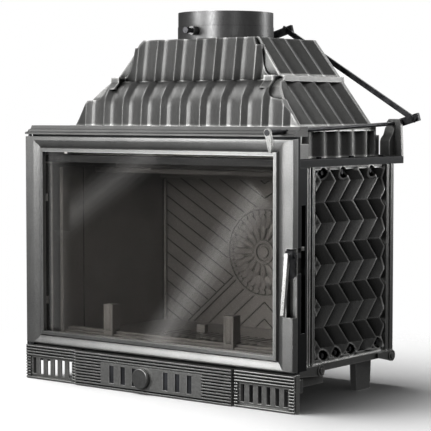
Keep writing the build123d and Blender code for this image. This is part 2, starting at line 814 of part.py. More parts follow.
with hood_front:
    add(sheet.part)
keep(hood_front, "hood_front")

# Hood sides: ribbed skins that end against the back of the hood front
behind = front_back + [(hood_rear, hood_top), (hood_rear, hood_low)]


def hood_side(low, high, first, pitch):
    """A ribbed side between two levels, each given as (height, crest)."""
    profile = waves(first - 3 * pitch, pitch, 9, rib_out, -1)
    with BuildPart() as side:
        skin([(*low, 0), (*high, 0)], profile, "x", -rib_out - hood_wall)
        prism("x", behind, 0, 400, Mode.INTERSECT)
    return side


lower_right = hood_side((hood_low, hood_half), (ledge_low, ledge_half), 147.3, 51.7)
keep(lower_right, "hood_lower_right")
keep(twin(lower_right), "hood_lower_left")
upper_right = hood_side((ledge_high, tier_half), (hood_top, top_half), 191, 54)
keep(upper_right, "hood_upper_right")
keep(twin(upper_right), "hood_upper_left")

with BuildPart() as ledge:
    block((-ledge_half, ledge_half), (110, hood_rear), (ledge_low, ledge_high))
    block((-190, 190), (100, hood_rear - 14), (ledge_low - 1, ledge_high + 1), Mode.SUBTRACT)
    prism("x", behind, -400, 400, Mode.INTERSECT)
keep(ledge, "hood_ledge")

with BuildPart() as hood_back:
    outline = hood_outline + [(-x, z) for x, z in reversed(hood_outline)]
    prism("y", outline, hood_rear, hood_end)
keep(hood_back, "hood_back")

# The top plate lies between the four ribbed sides, flush with their tops
plate_low = hood_top - hood_plate
plate_half = top_half - front_depth
plate_slope = (tier_half - top_half) / (hood_top - ledge_high)
with BuildPart() as top_plate:
    low_half = plate_half + plate_slope * hood_plate
    section = [(plate_half, hood_top), (low_half, plate_low)]
    section += [(-x, z) for x, z in reversed(section)]
    prism("y", section, front_back[-2][0], hood_rear)
    bar("z", (0, collar_y), collar_radius - 2, plate_low - 1, hood_top + 1, Mode.SUBTRACT)
    prism("x", front_back[-2:] + [(0, hood_top), (0, ledge_high)], -200, 200, Mode.SUBTRACT)
keep(top_plate, "hood_top_plate")

# Flue collar with the two bearings of the damper axle
with BuildPart() as collar:
    bar("z", (0, collar_y), collar_radius + collar_shoulder, hood_top, collar_seat)
    bar("z", (0, collar_y), collar_radius, collar_seat, collar_top)
    for low, high in ((130, 160), (330, 360)):
        bar("y", (0, axle_z), 9, low, high)
    bar("z", (0, collar_y), collar_radius - collar_wall, hood_top - 1, collar_top + 1, Mode.SUBTRACT)
    bar("y", (0, axle_z), axle_radius + pin_gap, 100, 400, Mode.SUBTRACT)
keep(collar, "flue_collar")

# Damper axle, blade and upper crank
blade_radius = collar_radius - collar_wall - 1.5
upper_pin = (
    crank_length * cos(radians(crank_angle)),
    axle_z + crank_length * sin(radians(crank_angle)),
)
with BuildPart() as axle:
    bar("y", (0, axle_z), axle_radius, axle_front, crank_y + crank_thick + 2)
    flat = (collar_y - blade_reach, collar_y + blade_reach)
    block((-6, 6), flat, (axle_z, axle_z + 6), Mode.SUBTRACT)
keep(axle, "damper_axle")

with BuildPart() as blade:
    bar("z", (0, collar_y), blade_radius, axle_z, axle_z + blade_thick)
    block((-blade_radius, blade_radius), flat, (axle_z, axle_z + blade_thick), Mode.INTERSECT)
keep(blade, "damper_blade")

with BuildPart() as blade_screws:
    for y in (collar_y - 50, collar_y + 50):
        bar("z", (0, y), 4.5, axle_z + blade_thick, axle_z + blade_thick + 3)
keep(blade_screws, "blade_screws")

with BuildPart() as axle_nut:
    flat_sided("y", (0, axle_z), 7.5, axle_front - 8, axle_front)
keep(axle_nut, "axle_nut")

crank_back = crank_y + crank_thick
with BuildPart() as upper_crank:
    corners = turned((0, axle_z), crank_angle, -10, crank_length + 12, crank_width)
    prism("y", corners, crank_y, crank_back)
    bar("y", (0, axle_z), axle_radius, crank_y - 1, crank_back + 1, Mode.SUBTRACT)
    bar("y", upper_pin, rod_pin, rod_front - head_gap, crank_back)
    bar("y", upper_pin, rod_pin + 2, rod_front - head_gap - 2, rod_front - head_gap)
keep(upper_crank, "upper_crank")

# Damper shaft with its lever at the front and its crank at the rear
lean = (shaft_run**2 + shaft_rise**2) ** 0.5 / shaft_run
with BuildPart() as shaft:
    along_shaft(shaft_radius, -4, (crank_back + 2) * lean)
    along_shaft(stub_radius, -46, -4)
keep(shaft, "damper_shaft")

with BuildPart() as lever:
    with BuildSketch(shaft_line.offset(-45)) as outline:
        with BuildLine():
            Polyline((-7, -2), (7, -2), (11, 22), (8.5, 36), (6.5, 38), (3.5, 37), (1.5, 32), close=True)
        make_face()
        Circle(7.5)
        Circle(stub_radius, mode=Mode.SUBTRACT)
    extrude(outline.sketch, amount=6)
keep(lever, "damper_lever")

crank_dir = (cos(radians(crank_angle)), sin(radians(crank_angle)))
local_pin = (crank_length * crank_dir[0], -crank_length * crank_dir[1])
pin_front = rod_front - seat_gap - 0.4
with BuildPart() as lower_crank:
    with BuildSketch(shaft_line.offset(crank_y * lean)) as outline:
        with BuildLine():
            Polyline(*turned((0, 0), -crank_angle, -10, crank_length + 12, crank_width), close=True)
        make_face()
        Circle(shaft_radius, mode=Mode.SUBTRACT)
    extrude(outline.sketch, amount=crank_thick)
    along_shaft(rod_pin, pin_front * lean, crank_back * lean, local_pin)
    along_shaft(rod_pin + 2, (pin_front - 2) * lean, pin_front * lean, local_pin)
keep(lower_crank, "lower_crank")

lower_pin = shaft_line.from_local_coords(Vector(local_pin[0], local_pin[1], crank_y * lean))
with BuildPart() as rod:
    reach = (upper_pin[0] - lower_pin.X, upper_pin[1] - lower_pin.Z)
    rod_angle = degrees(atan2(reach[1], reach[0]))
    rod_length = (reach[0] ** 2 + reach[1] ** 2) ** 0.5
    start = (lower_pin.X, lower_pin.Z)
    corners = turned(start, rod_angle, -9, rod_length + 9, rod_width)
    prism("y", corners, rod_front, rod_front + rod_thick)
    corners = turned(start, rod_angle, 14, rod_length - 14, 3.5)
    prism("y", corners, rod_front - 1, rod_front + 1, Mode.SUBTRACT)
    bar("y", upper_pin, rod_pin + loose_gap, 400, 420, Mode.SUBTRACT)
    along_shaft(rod_pin + pin_gap, 400, 420, local_pin, Mode.SUBTRACT)
keep(rod, "damper_rod")

# Bracket that carries the rear of the shaft
with BuildPart() as bracket:
    sheet_edge = [(-19, 0), (21, 0), (18, 67), (14, 76), (-11, 76), (-16, 70), (-18, 50)]
    prism("y", [(shaft_x + x, ring_high + z) for x, z in sheet_edge], 398, ring_rear)
    gusset = [(398, ring_high), (377, ring_high), (377, 508), (380, 514), (390, 522), (398, 538)]
    prism("x", gusset, shaft_x - 19, shaft_x + 4)
    along_shaft(shaft_radius + pin_gap, 370, 420, mode=Mode.SUBTRACT)
keep(bracket, "shaft_bracket")

# Bolts along the walls and the ring plate
with BuildPart() as wall_bolts:
    for side in (-1, 1):
        for place in bolt_places:
            heads = sorted((side * wall_face, side * (wall_face + 5)))
            flat_sided("x", place, 5, *heads)
        for y in (116, 230, 340):
            flat_sided("z", (side * 326, y), 6, ring_high, ring_high + 4)
keep(wall_bolts, "bolts")

# Everything is moved so that the origin is the middle of the base
bounds = Compound([piece.part for piece in pieces]).bounding_box()
shift = (-bounds.center().X, -bounds.center().Y, -bounds.min.Z)
for piece in pieces:
    label = piece.part.label
    moved = piece.part.moved(Location(shift))
    moved.label = label
    export_step(moved, "parts/" + label + ".step")
print("pieces", len(pieces))
print("size", bounds.size.X, bounds.size.Y, bounds.size.Z)
print("shift", shift)
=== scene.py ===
import json
import math

import bmesh
import bpy
from mathutils import Matrix, Vector

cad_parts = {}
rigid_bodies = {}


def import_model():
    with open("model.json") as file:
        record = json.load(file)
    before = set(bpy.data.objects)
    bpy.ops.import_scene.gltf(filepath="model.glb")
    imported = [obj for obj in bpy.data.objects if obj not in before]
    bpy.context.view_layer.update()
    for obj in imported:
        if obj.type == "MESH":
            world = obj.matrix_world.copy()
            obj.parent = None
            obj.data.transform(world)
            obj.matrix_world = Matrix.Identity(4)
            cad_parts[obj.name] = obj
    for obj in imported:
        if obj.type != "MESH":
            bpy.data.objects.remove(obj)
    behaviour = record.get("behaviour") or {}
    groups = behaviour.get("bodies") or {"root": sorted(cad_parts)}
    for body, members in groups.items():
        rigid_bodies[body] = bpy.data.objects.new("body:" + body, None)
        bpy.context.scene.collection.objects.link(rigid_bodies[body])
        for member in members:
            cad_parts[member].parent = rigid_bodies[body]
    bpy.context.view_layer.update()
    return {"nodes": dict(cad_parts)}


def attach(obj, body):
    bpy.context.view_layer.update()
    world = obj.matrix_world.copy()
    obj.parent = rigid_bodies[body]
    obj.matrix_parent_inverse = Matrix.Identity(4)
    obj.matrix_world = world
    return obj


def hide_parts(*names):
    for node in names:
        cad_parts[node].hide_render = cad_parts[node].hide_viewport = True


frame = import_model()
nodes = frame["nodes"]

mm = 0.001  # the CAD's millimetres in metres
middleX, middleY = 10.595, 188.980  # the base's middle, from the stove's centre plane and the door's face


def place(x, y, z):
    # a point given from the centre plane, the door's face and the floor, in mm
    return Vector(((x - middleX) * mm, (y - middleY) * mm, z * mm))


def hexToLinear(text):
    # an sRGB hex colour as the linear one that the shaders need
    steps = [int(text[i : i + 2], 16) / 255 for i in (1, 3, 5)]
    linear = [c / 12.92 if c <= 0.04045 else ((c + 0.055) / 1.055) ** 2.4 for c in steps]
    return (*linear, 1.0)


def addNode(tree, kind, sockets=None, **settings):
    # one node with its settings; a socket's value may be another node's output
    node = tree.nodes.new("ShaderNode" + kind)
    for name, value in settings.items():
        setattr(node, name, value)
    for name, value in (sockets or {}).items():
        if isinstance(value, bpy.types.NodeSocket):
            tree.links.new(value, node.inputs[name])
        else:
            node.inputs[name].default_value = value
    return node


def startMaterial(name):
    # an empty material with its output node
    material = bpy.data.materials.new(name)
    material.use_nodes = True
    material.node_tree.nodes.clear()
    output = addNode(material.node_tree, "OutputMaterial")
    return material, material.node_tree, output


# The camera: a long lens at the stove's front right corner, a little above its middle

cameraView = {
    "eye": (2075.8, -2459.2, 564.1),  # mm
    "turn": 37.863,  # degrees round from straight ahead
    "tilt": 3.601,  # degrees downwards
    "roll": 0.018,
    "lens": 134.70,
    "sensorWidth": 36.0,
    "farthest": 60.0,  # metres, nothing beyond it is drawn
}


def makeCamera(view):
    turn, tilt, roll = (math.radians(view[k]) for k in ("turn", "tilt", "roll"))
    flat = math.cos(tilt)
    back = Vector((math.sin(turn) * flat, -math.cos(turn) * flat, math.sin(tilt)))
    right = Vector((math.cos(turn), math.sin(turn), 0))
    up = back.cross(right)
    right, up = (
        math.cos(roll) * right + math.sin(roll) * up,
        math.cos(roll) * up - math.sin(roll) * right,
    )
    data = bpy.data.cameras.new("camera")
    data.lens = view["lens"]
    data.sensor_width = view["sensorWidth"]
    data.clip_end = view["farthest"]
    camera = bpy.data.objects.new("camera", data)
    bpy.context.scene.collection.objects.link(camera)
    turned = Matrix((right, up, back)).transposed().to_4x4()
    camera.matrix_world = Matrix.Translation(place(*view["eye"])) @ turned
    bpy.context.scene.camera = camera


makeCamera(cameraView)
print("camera placed")

# The materials

noiseLow, noiseHigh = 0.3, 0.7  # nearly all of a noise texture lies between these
mixShare, mixFirst, mixSecond, mixResult = 0, 6, 7, 2  # a Mix node's sockets for colours
edgeRays = 6  # rays that look for an edge or a hollow, few because the render averages them

castIronLook = {
    "paint": "#80807f",  # graphite grey stove paint
    "paintWornAndHighlight": "#b6b6b4",  # the paint's rubbed high edges, paler also as a painted highlight
    "paintedHollowShade": "#1c1c1b",  # painted shade darkening the hollows
    "grain": 3.0,  # mm, sand grain of the mould, drawn coarser than its 0.5 mm so that it shows
    "fleckTone": (0.9, 1.1),  # how far the grain darkens and lightens the paint
    "cloud": 90.0,  # mm, uneven spray
    "cloudTone": (0.88, 1.1),
    "edge": 2.6,  # mm, how far the wear and painted highlight reach in from an edge
    "wearFrom": 0.9,  # a blunter edge than this shows no wear and no painted highlight
    "wearFull": 0.45,  # and one as sharp as this is fully worn and highlighted
    "hollow": 24.0,  # mm, how deep a hollow is before painted shade darkens it
    "hollowFull": 0.45,  # as open as this and less is darkest
    "hollowNone": 0.96,
    "topShadeFrom": 2000.0,  # mm above the floor, where painted shade towards the top starts: none on the outside
    "topShadeTo": 2001.0,
    "topShadeTone": 0.06,
    "roughness": 0.35,
    "roughnessSpread": (-0.05, 0.07),
    "metallic": 0.85,
    "bumpStrength": 0.3,
    "bumpHeight": 0.3,  # mm
}


def sprayedCastIron(name, look):
    # Grey cast iron, sand cast and sprayed with graphite stove paint: a satin sheen that
    # breaks up over the sand grain, with pale rubbed edges that are also a painted highlight,
    # and painted shade darkening the hollows
    material, tree, output = startMaterial(name)
    where = addNode(tree, "TexCoord").outputs["Object"]
    grainSockets = {"Vector": where, "Scale": 1 / (look["grain"] * mm), "Detail": 3.0}
    grain = addNode(tree, "TexNoise", grainSockets)
    cloudSockets = {"Vector": where, "Scale": 1 / (look["cloud"] * mm), "Detail": 4.0}
    cloud = addNode(tree, "TexNoise", cloudSockets)
    # wear and painted highlight: the sharper an edge, the paler its paint
    edge = addNode(
        tree,
        "AmbientOcclusion",
        {"Distance": look["edge"] * mm},
        inside=True,
        only_local=True,
        samples=edgeRays,
    )
    # painted shade: the more closed in a spot, the darker its paint
    hollow = addNode(
        tree,
        "AmbientOcclusion",
        {"Distance": look["hollow"] * mm},
        only_local=True,
        samples=edgeRays,
    )
    worn = addNode(
        tree,
        "MapRange",
        {
            "Value": edge.outputs["AO"],
            "From Min": look["wearFrom"],
            "From Max": look["wearFull"],
        },
    )
    hollowShadeMask = addNode(
        tree,
        "MapRange",
        {
            "Value": hollow.outputs["AO"],
            "From Min": look["hollowFull"],
            "From Max": look["hollowNone"],
            "To Min": 1.0,
            "To Max": 0.0,
        },
    )
    spray = addNode(
        tree,
        "MapRange",
        {
            "Value": cloud.outputs["Fac"],
            "From Min": noiseLow,
            "From Max": noiseHigh,
            "To Min": look["cloudTone"][0],
            "To Max": look["cloudTone"][1],
        },
    )
    fleck = addNode(
        tree,
        "MapRange",
        {
            "Value": grain.outputs["Fac"],
            "From Min": noiseLow,
            "From Max": noiseHigh,
            "To Min": look["fleckTone"][0],
            "To Max": look["fleckTone"][1],
        },
    )
    tone = addNode(tree, "Math", {0: spray.outputs[0], 1: fleck.outputs[0]}, operation="MULTIPLY")
    # painted shade in the hollows
    deep = addNode(
        tree,
        "Mix",
        {
            mixShare: hollowShadeMask.outputs[0],
            mixFirst: hexToLinear(look["paint"]),
            mixSecond: hexToLinear(look["paintedHollowShade"]),
        },
        data_type="RGBA",
    )
    # the edges painted paler, as wear and as a painted highlight
    rubbedAndHighlighted = addNode(
        tree,
        "Mix",
        {
            mixShare: worn.outputs[0],
            mixFirst: deep.outputs[mixResult],
            mixSecond: hexToLinear(look["paintWornAndHighlight"]),
        },
        data_type="RGBA",
    )
    height = addNode(tree, "SeparateXYZ", {0: where})
    # painted shade towards the top: the higher, the darker
    topShade = addNode(
        tree,
        "MapRange",
        {
            "Value": height.outputs["Z"],
            "From Min": look["topShadeFrom"] * mm,
            "From Max": look["topShadeTo"] * mm,
            "To Min": 1.0,
            "To Max": look["topShadeTone"],
        },
    )
    tonedAndTopShaded = addNode(tree, "Math", {0: tone.outputs[0], 1: topShade.outputs[0]}, operation="MULTIPLY")
    colour = addNode(
        tree,
        "VectorMath",
        {0: rubbedAndHighlighted.outputs[mixResult], 1: tonedAndTopShaded.outputs[0]},
        operation="MULTIPLY",
    )
    rough = addNode(
        tree,
        "MapRange",
        {
            "Value": grain.outputs["Fac"],
            "From Min": noiseLow,
            "From Max": noiseHigh,
            "To Min": look["roughness"] + look["roughnessSpread"][0],
            "To Max": look["roughness"] + look["roughnessSpread"][1],
        },
    )
    bump = addNode(
        tree,
        "Bump",
        {
            "Height": grain.outputs["Fac"],
            "Strength": look["bumpStrength"],
            "Distance": look["bumpHeight"] * mm,
        },
    )
    shader = addNode(
        tree,
        "BsdfPrincipled",
        {
            "Base Color": colour.outputs[0],
            "Metallic": look["metallic"],
            "Roughness": rough.outputs[0],
            "Normal": bump.outputs[0],
        },
    )
    tree.links.new(shader.outputs[0], output.inputs["Surface"])
    return material


ribbedIronLook = dict(  # the hood's front and back: wider wear and painted highlight on the sharp ribs, deeper painted shade between them
    castIronLook,
    edge=4.5,
    wearFrom=0.97,
    hollow=30.0,
    hollowFull=0.72,
    paintWornAndHighlight="#c8c8c6",
    roughness=0.4,
)

wallIronLook = dict(  # the walls, hood base and hood sides: paint darkened as painted shade, with stronger painted highlight and hollow shade
    ribbedIronLook,
    paint="#626261",
    paintWornAndHighlight="#e8e8e6",
    paintedHollowShade="#070707",
    edge=5.0,
    hollowFull=0.75,
    roughness=0.34,
)

plinthLook = dict(  # the grilles and the drawer's front, in a paler grey with paler edges
    castIronLook,
    paint="#a6a6a4",
    paintWornAndHighlight="#dededc",
)

collarLook = dict(  # the flue collar, turned after casting, its paint darkened as painted shade, its edges kept plain
    castIronLook,
    paint="#707070",
    edge=0.8,
    wearFrom=0.5,
    roughness=0.36,
)

corniceLook = dict(collarLook, paint="#767675", roughness=0.45)  # painted shade: a darker copy of the paint, with little wear or painted highlight on the edges

shadedFrameIronLook = dict(  # the front frame and ring plate, painted near black as painted shade where they show through the pane
    castIronLook,
    paint="#2c2d2e",
    paintWornAndHighlight="#5c5d5f",
    roughness=0.45,
)

liningLook = dict(  # the plates round the fire, darker towards the top with painted shade
    castIronLook,
    paint="#747270",  # bare iron, browned by heat
    paintWornAndHighlight="#8f8b88",
    paintedHollowShade="#050505",
    edge=1.0,
    wearFrom=0.65,
    hollow=6.0,
    topShadeFrom=395.0,
    topShadeTo=480.0,
    roughness=0.38,
    metallic=0.6,
)

brightSteelLook = {
    "colour": "#c2c2c0",
    "stroke": 0.8,  # mm across a brushing stroke, drawn wider than real to show
    "strokeLength": 25,  # times as long as it is wide
    "roughness": 0.3,
    "roughnessSpread": (-0.06, 0.1),
    "bumpStrength": 0.12,
    "bumpHeight": 0.05,  # mm
}


def brushedStainlessSteel(name, look):
    # Stainless steel, brushed along its length and then buffed: a bright, long highlight
    material, tree, output = startMaterial(name)
    where = addNode(tree, "TexCoord").outputs["Object"]
    across = 1 / (look["stroke"] * mm)
    stretch = (across, across, across / look["strokeLength"])
    stretched = addNode(tree, "VectorMath", {0: where, 1: stretch}, operation="MULTIPLY")
    strokeSockets = {"Vector": stretched.outputs[0], "Scale": 1.0, "Detail": 2.0}
    strokes = addNode(tree, "TexNoise", strokeSockets)
    rough = addNode(
        tree,
        "MapRange",
        {
            "Value": strokes.outputs["Fac"],
            "From Min": noiseLow,
            "From Max": noiseHigh,
            "To Min": look["roughness"] + look["roughnessSpread"][0],
            "To Max": look["roughness"] + look["roughnessSpread"][1],
        },
    )
    bump = addNode(
        tree,
        "Bump",
        {
            "Height": strokes.outputs["Fac"],
            "Strength": look["bumpStrength"],
            "Distance": look["bumpHeight"] * mm,
        },
    )
    shader = addNode(
        tree,
        "BsdfPrincipled",
        {
            "Base Color": hexToLinear(look["colour"]),
            "Metallic": 1.0,
            "Roughness": rough.outputs[0],
            "Normal": bump.outputs[0],
        },
    )
    tree.links.new(shader.outputs[0], output.inputs["Surface"])
    return material


darkSteelLook = {
    "colour": "#3b3b3d",
    "patch": "#5a5a5c",  # where the oxide is thin
    "patchSize": 14.0,  # mm
    "patchFrom": 0.4,  # the noise value where a thin patch starts
    "edge": 1.2,  # mm, how far the wear reaches in from an edge
    "wearFrom": 0.7,
    "wearFull": 0.3,
    "wearMost": 0.7,
    "roughness": 0.38,
    "roughnessSpread": (-0.05, 0.08),
    "metallic": 0.9,
}

sheetSteelLook = dict(  # rolled, with a duller and more even skin
    darkSteelLook,
    colour="#434447",
    patch="#55565a",
    patchSize=60.0,
    roughness=0.48,
)


def oxidisedSteel(name, look):
    # Mild steel, cut and blackened in hot oxide: near black, with a low oily gloss
    material, tree, output = startMaterial(name)
    where = addNode(tree, "TexCoord").outputs["Object"]
    patchSockets = {"Vector": where, "Scale": 1 / (look["patchSize"] * mm), "Detail": 5.0}
    patch = addNode(tree, "TexNoise", patchSockets)
    edge = addNode(
        tree,
        "AmbientOcclusion",
        {"Distance": look["edge"] * mm},
        inside=True,
        only_local=True,
        samples=edgeRays,
    )
    worn = addNode(
        tree,
        "MapRange",
        {
            "Value": edge.outputs["AO"],
            "From Min": look["wearFrom"],
            "From Max": look["wearFull"],
            "To Max": look["wearMost"],
        },
    )
    spread = addNode(
        tree,
        "MapRange",
        {"Value": patch.outputs["Fac"], "From Min": look["patchFrom"], "From Max": noiseHigh},
    )
    both = addNode(tree, "Math", {0: worn.outputs[0], 1: spread.outputs[0]}, operation="MAXIMUM")
    colour = addNode(
        tree,
        "Mix",
        {
            mixShare: both.outputs[0],
            mixFirst: hexToLinear(look["colour"]),
            mixSecond: hexToLinear(look["patch"]),
        },
        data_type="RGBA",
    )
    rough = addNode(
        tree,
        "MapRange",
        {
            "Value": patch.outputs["Fac"],
            "From Min": noiseLow,
            "From Max": noiseHigh,
            "To Min": look["roughness"] + look["roughnessSpread"][0],
            "To Max": look["roughness"] + look["roughnessSpread"][1],
        },
    )
    shader = addNode(
        tree,
        "BsdfPrincipled",
        {
            "Base Color": colour.outputs[mixResult],
            "Metallic": look["metallic"],
            "Roughness": rough.outputs[0],
        },
    )
    tree.links.new(shader.outputs[0], output.inputs["Surface"])
    return material


glassLook = {
    "tint": "#dcd9d5",  # a faint smoky brown from use
    "haze": 22.0,  # mm, wiping marks
    "hazeFrom": 0.4,  # noise values between which a mark grows
    "hazeFull": 0.8,
    "hazeRoughness": 0.03,
    "roughness": 0.02,
    "refraction": 1.54,  # glass ceramic
}


def drawnCeramicGlass(name, look):
    # Glass ceramic, rolled and polished: clear with a faint smoky tint, mirror-like at the surface
    material, tree, output = startMaterial(name)
    where = addNode(tree, "TexCoord").outputs["Object"]
    hazeSockets = {"Vector": where, "Scale": 1 / (look["haze"] * mm), "Detail": 4.0}
    haze = addNode(tree, "TexNoise", hazeSockets)
    rough = addNode(
        tree,
        "MapRange",
        {
            "Value": haze.outputs["Fac"],
            "From Min": look["hazeFrom"],
            "From Max": look["hazeFull"],
            "To Min": look["roughness"],
            "To Max": look["roughness"] + look["hazeRoughness"],
        },
    )
    shader = addNode(
        tree,
        "BsdfPrincipled",
        {
            "Base Color": hexToLinear(look["tint"]),
            "Metallic": 0.0,
            "Roughness": rough.outputs[0],
            "IOR": look["refraction"],
            "Transmission Weight": 1.0,
        },
    )
    tree.links.new(shader.outputs[0], output.inputs["Surface"])
    return material


ropeLook = {
    "colour": "#4a4946",
    "fibre": 0.9,  # mm, yarns in the braid
    "fibreTone": (0.7, 1.25),
    "roughness": 0.85,
    "sheen": 0.3,
    "bumpStrength": 0.5,
    "bumpHeight": 0.3,  # mm
}


def braidedGlassFibre(name, look):
    # Glass fibre yarn, braided and dyed grey: soft and dull with a fine ribbing
    material, tree, output = startMaterial(name)
    where = addNode(tree, "TexCoord").outputs["Object"]
    yarnSockets = {"Vector": where, "Scale": 1 / (look["fibre"] * mm), "Detail": 2.0}
    yarn = addNode(tree, "TexNoise", yarnSockets)
    tone = addNode(
        tree,
        "MapRange",
        {
            "Value": yarn.outputs["Fac"],
            "From Min": noiseLow,
            "From Max": noiseHigh,
            "To Min": look["fibreTone"][0],
            "To Max": look["fibreTone"][1],
        },
    )
    dye = hexToLinear(look["colour"])[:3]
    colour = addNode(tree, "VectorMath", {0: dye, 1: tone.outputs[0]}, operation="MULTIPLY")
    bump = addNode(
        tree,
        "Bump",
        {
            "Height": yarn.outputs["Fac"],
            "Strength": look["bumpStrength"],
            "Distance": look["bumpHeight"] * mm,
        },
    )
    shader = addNode(
        tree,
        "BsdfPrincipled",
        {
            "Base Color": colour.outputs[0],
            "Roughness": look["roughness"],
            "Sheen Weight": look["sheen"],
            "Normal": bump.outputs[0],
        },
    )
    tree.links.new(shader.outputs[0], output.inputs["Surface"])
    return material


finishes = {
    "painted_iron": sprayedCastIron("cast_iron_sprayed_graphite", castIronLook),
    "ribbed_iron": sprayedCastIron("cast_iron_sprayed_ribs", ribbedIronLook),
    "plinth_iron": sprayedCastIron("cast_iron_sprayed_plinth", plinthLook),
    "wall_iron": sprayedCastIron("cast_iron_sprayed_wall_painted_shade", wallIronLook),
    "collar_iron": sprayedCastIron("cast_iron_turned_and_sprayed", collarLook),
    "cornice_iron": sprayedCastIron("cast_iron_sprayed_cornice", corniceLook),
    "shaded_frame_iron": sprayedCastIron("cast_iron_painted_shade_black", shadedFrameIronLook),
    "lining_iron": sprayedCastIron("cast_iron_browned_by_fire", liningLook),
    "bright_steel": brushedStainlessSteel("stainless_steel_brushed", brightSteelLook),
    "dark_steel": oxidisedSteel("mild_steel_blackened", darkSteelLook),
    "sheet_steel": oxidisedSteel("sheet_steel_rolled", sheetSteelLook),
    "ceramic_glass": drawnCeramicGlass("glass_ceramic_polished", glassLook),
    "glass_fibre_rope": braidedGlassFibre("glass_fibre_braided", ropeLook),
}
print("materials made:", len(finishes))

# The CAD's pieces: finish, and edges rounded as castings and cut steel have them

edgeRounding = {
    "casting": 0.9,  # mm
    "steel": 0.5,
    "wall_left": 1.3,
    "wall_right": 1.3,
    "hood_front": 1.0,
}

edgeMaking = {
    "weld": 0.01,  # mm, corners closer than this are one
    "flatWithin": 0.5,  # degrees between faces that count as one flat face
    "roundFrom": 32.0,  # degrees, a blunter edge stays as it is
    "roundSteps": 2,
    "flatShading": 90,  # how much the large faces keep their own shading
}

coveredNodes = ("lining_left", "lining_right")  # flat plates whose edges all lie behind others


def dressNode(node, finish):
    for slot in node.material_slots:
        slot.material = finishes[finish]
    if node.name in coveredNodes:
        return
    weld = node.modifiers.new("weld", "WELD")
    weld.merge_threshold = edgeMaking["weld"] * mm
    flat = node.modifiers.new("flat_faces", "DECIMATE")
    flat.decimate_type = "DISSOLVE"
    flat.angle_limit = math.radians(edgeMaking["flatWithin"])
    edges = node.modifiers.new("edges", "BEVEL")
    plain = edgeRounding["casting" if "iron" in finish else "steel"]
    edges.width = edgeRounding.get(node.name, plain) * mm
    edges.segments = edgeMaking["roundSteps"]
    edges.limit_method = "ANGLE"
    edges.angle_limit = math.radians(edgeMaking["roundFrom"])
    shading = node.modifiers.new("shading", "WEIGHTED_NORMAL")
    shading.weight = edgeMaking["flatShading"]


ownFinish = {  # pieces whose finish differs from their slot's
    "wall_left": "wall_iron",
    "wall_right": "wall_iron",
    "hood_base": "wall_iron",
    "hood_front": "ribbed_iron",
    "hood_back": "ribbed_iron",
    "hood_lower_left": "wall_iron",
    "hood_lower_right": "wall_iron",
    "hood_upper_left": "wall_iron",
    "hood_upper_right": "wall_iron",
    "front_frame": "shaded_frame_iron",
    "ring_plate": "shaded_frame_iron",
    "hood_ledge": "painted_iron",
    "flue_collar": "collar_iron",
    "cornice": "cornice_iron",
    "axle_nut": "dark_steel",
    "drawer_front": "plinth_iron",
    "grille_left": "plinth_iron",
    "grille_right": "plinth_iron",
}

for name, node in nodes.items():
    finish = node.material_slots[0].material.name.split(".")[0]
    finish = ownFinish.get(name, finish)
    dressNode(node, finish)
    if finish == "ceramic_glass":
        node.visible_shadow = False  # light goes through the pane
print("pieces dressed:", len(nodes))


def meshPiece(name, vertices, faces, finish, body):
    mesh = bpy.data.meshes.new(name)
    mesh.from_pydata([tuple(v) for v in vertices], [], faces)
    mesh.update()
    for polygon in mesh.polygons:
        polygon.use_smooth = True
    piece = bpy.data.objects.new(name, mesh)
    bpy.context.scene.collection.objects.link(piece)
    mesh.materials.append(finishes[finish])
    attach(piece, body)
    return piece


# The door's sealing rope: four yarn strands laid round each other in the groove

doorRope = {
    "halfWidth": 324.0,  # mm, the groove's middle line
    "low": 86.0,
    "high": 507.0,
    "corner": 7.0,
    "depth": 13.85,  # mm behind the door's face
    "strands": 4,
    "strandRadius": 1.6,
    "strandSides": 6,
    "layRadius": 2.1,
    "lays": 58,  # turns round the whole loop
    "stepsPerLay": 8,
}


def ropeLine(rope, share):
    # the point and heading at a share of the way round the groove's rounded rectangle
    wide = rope["halfWidth"] - rope["corner"]
    tall = (rope["high"] - rope["low"]) / 2 - rope["corner"]
    middle = (rope["high"] + rope["low"]) / 2
    arc = math.pi / 2 * rope["corner"]
    runs = [2 * wide, arc, 2 * tall, arc, 2 * wide, arc, 2 * tall, arc]
    along = share % 1 * sum(runs)
    corners = [(wide, -tall), (wide, tall), (-wide, tall), (-wide, -tall)]
    for side in range(4):
        turn = math.pi / 2 * side
        ahead = Vector((math.cos(turn), math.sin(turn)))
        out = Vector((math.sin(turn), -math.cos(turn)))
        end = Vector(corners[side])
        if along < runs[2 * side]:
            at = end - ahead * (runs[2 * side] - along) + out * rope["corner"]
            return at + Vector((0, middle)), ahead
        along -= runs[2 * side]
        if along < arc:
            bend = along / rope["corner"]
            at = end + (out * math.cos(bend) + ahead * math.sin(bend)) * rope["corner"]
            return at + Vector((0, middle)), ahead * math.cos(bend) - out * math.sin(bend)
        along -= arc
    return ropeLine(rope, 0.0)  # rounding can leave the very end over


